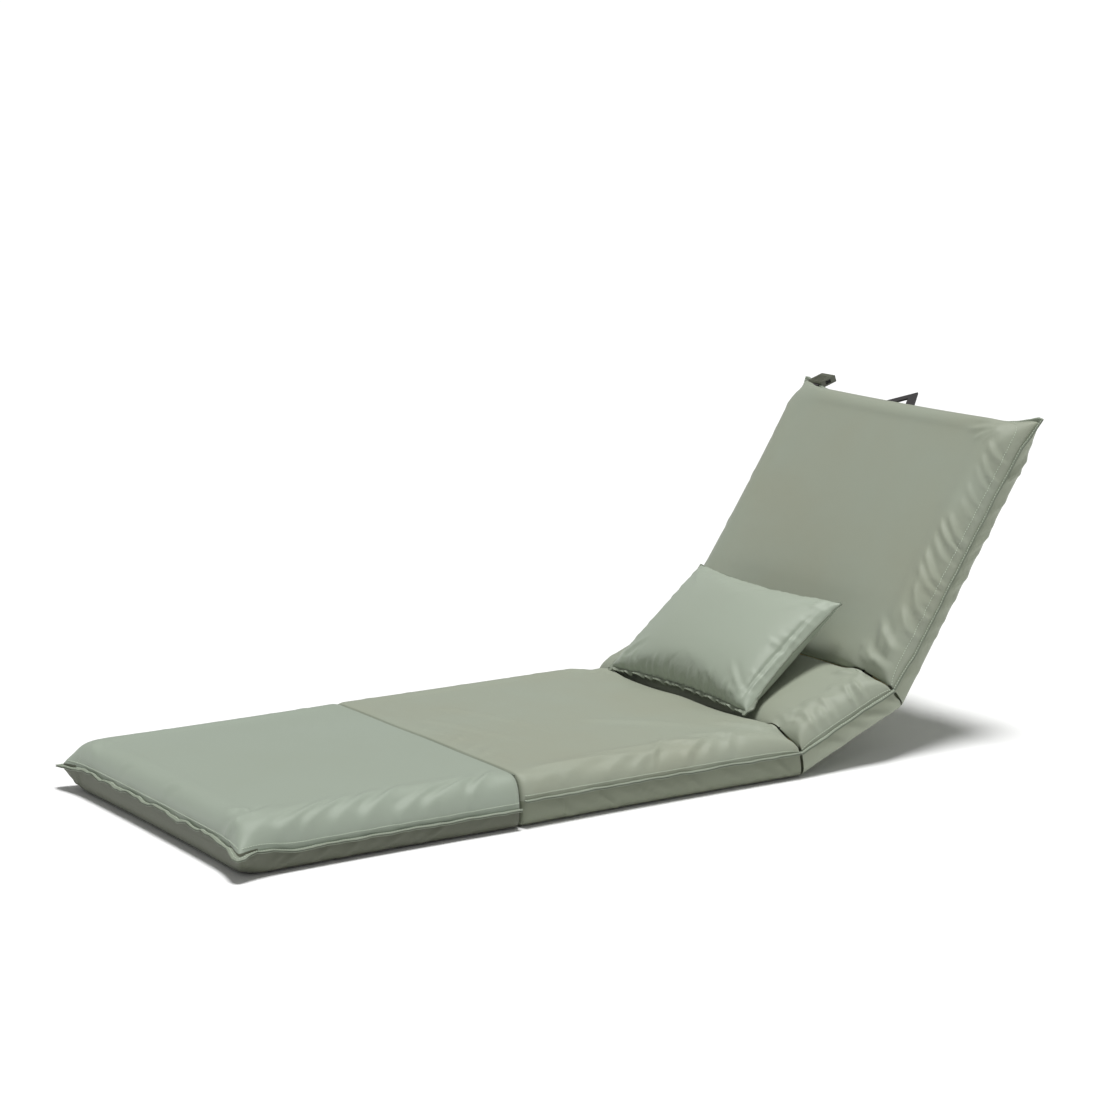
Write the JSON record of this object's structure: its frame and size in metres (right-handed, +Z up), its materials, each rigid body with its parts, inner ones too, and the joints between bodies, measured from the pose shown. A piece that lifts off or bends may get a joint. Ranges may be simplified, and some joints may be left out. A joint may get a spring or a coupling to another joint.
{
  "type": "folding camping recliner",
  "caption": "Padded floor lounger in four hinged sections, with ratchet reclining lumbar and back sections, folding foot section and loose pillow.",
  "frame": {"origin": "centre of the seat section's flat base, on the floor", "axes": "+X across the width, +Y along the length from the foot towards the head, +Z up"},
  "size_m": [0.6, 1.5214, 0.5583],
  "materials": {
    "cover_fabric": "sage green plain-woven polyester, matt with a soft sheen",
    "foam": "cut polyurethane foam",
    "filling": "polyester wadding",
    "frame_steel": "black powder coat",
    "hinge_steel": "zinc-plated pressed steel",
    "webbing": "black ribbed polyester webbing",
    "zip": "nylon zip chain on woven tape",
    "buckle": "moulded acetal, satin"
  },
  "bodies": {
    "seat": {"seat_cover": "cover_fabric", "seat_foam_lower": "foam", "seat_foam_upper": "foam", "seat_frame": "frame_steel", "seat_frame_rivets": "hinge_steel", "lumbar_hinge_cheeks": "hinge_steel", "lumbar_hinge_pins": "hinge_steel", "lumbar_pawl_springs": "hinge_steel", "fold_seam_welt": "cover_fabric", "lumbar_crease_gusset": "cover_fabric"},
    "foot": {"foot_cover": "cover_fabric", "foot_foam": "foam", "foot_zip": "zip"},
    "foot_zip_pull": {"foot_zip_slider": "hinge_steel"},
    "left_lumbar_pawl": {"lumbar_pawl_left": "hinge_steel"},
    "right_lumbar_pawl": {"lumbar_pawl_right": "hinge_steel"},
    "lumbar": {"lumbar_cover": "cover_fabric", "lumbar_foam_lower": "foam", "lumbar_foam_upper": "foam", "lumbar_frame": "frame_steel", "lumbar_frame_rivets": "hinge_steel", "lumbar_ratchet_plates": "hinge_steel", "back_hinge_cheeks": "hinge_steel", "back_hinge_pins": "hinge_steel", "back_pawl_springs": "hinge_steel", "back_crease_gusset": "cover_fabric"},
    "left_back_pawl": {"back_pawl_left": "hinge_steel"},
    "right_back_pawl": {"back_pawl_right": "hinge_steel"},
    "back": {"back_cover": "cover_fabric", "back_foam_lower": "foam", "back_foam_upper": "foam", "back_frame": "frame_steel", "back_frame_rivets": "hinge_steel", "back_ratchet_plates": "hinge_steel", "back_zip": "zip", "carry_handle": "webbing", "buckle_tab": "webbing", "buckle_socket": "buckle", "closing_strap": "webbing", "buckle_plug": "buckle"},
    "back_zip_pull": {"back_zip_slider": "hinge_steel"},
    "pillow": {"pillow_cover": "cover_fabric", "pillow_filling": "filling"}
  },
  "joints": [
    {"name": "foot_fold", "type": "hinge", "parent": "seat", "child": "foot", "pos_m": [0, -0.266, 0.086], "axis": [-1, 0, 0], "range_deg": [0, 178], "deforming": ["fold_seam_welt"]},
    {"name": "lumbar_recline", "type": "hinge", "parent": "seat", "child": "lumbar", "pos_m": [0, 0.266, 0.043], "axis": [1, 0, 0], "range_deg": [-22.5, 56.25], "deforming": ["lumbar_crease_gusset"]},
    {"name": "back_recline", "type": "hinge", "parent": "lumbar", "child": "back", "pos_m": [0, 0.45539, 0.12145], "axis": [1, 0, 0], "range_deg": [-33.75, 56.25], "deforming": ["back_crease_gusset", "pillow_cover", "pillow_filling"]},
    {"name": "left_lumbar_pawl_swing", "type": "hinge", "parent": "seat", "child": "left_lumbar_pawl", "pos_m": [-0.235, 0.241, 0.065], "axis": [1, 0, 0], "range_deg": [0, 10.6]},
    {"name": "right_lumbar_pawl_swing", "type": "hinge", "parent": "seat", "child": "right_lumbar_pawl", "pos_m": [0.235, 0.241, 0.065], "axis": [1, 0, 0], "range_deg": [0, 10.6]},
    {"name": "left_back_pawl_swing", "type": "hinge", "parent": "lumbar", "child": "left_back_pawl", "pos_m": [-0.235, 0.42388, 0.13221], "axis": [1, 0, 0], "range_deg": [0, 10.6]},
    {"name": "right_back_pawl_swing", "type": "hinge", "parent": "lumbar", "child": "right_back_pawl", "pos_m": [0.235, 0.42388, 0.13221], "axis": [1, 0, 0], "range_deg": [0, 10.6]},
    {"name": "foot_zip_run", "type": "slide", "parent": "foot", "child": "foot_zip_pull", "axis": [1, 0, 0], "range_m": [0, 0.395]},
    {"name": "back_zip_run", "type": "slide", "parent": "back", "child": "back_zip_pull", "axis": [1, 0, 0], "range_m": [0, 0.395]},
    {"name": "pillow_draw_out", "type": "slide", "parent": "lumbar", "child": "pillow", "axis": [1, 0, 0], "range_m": [0, 0.6]}
  ]
}
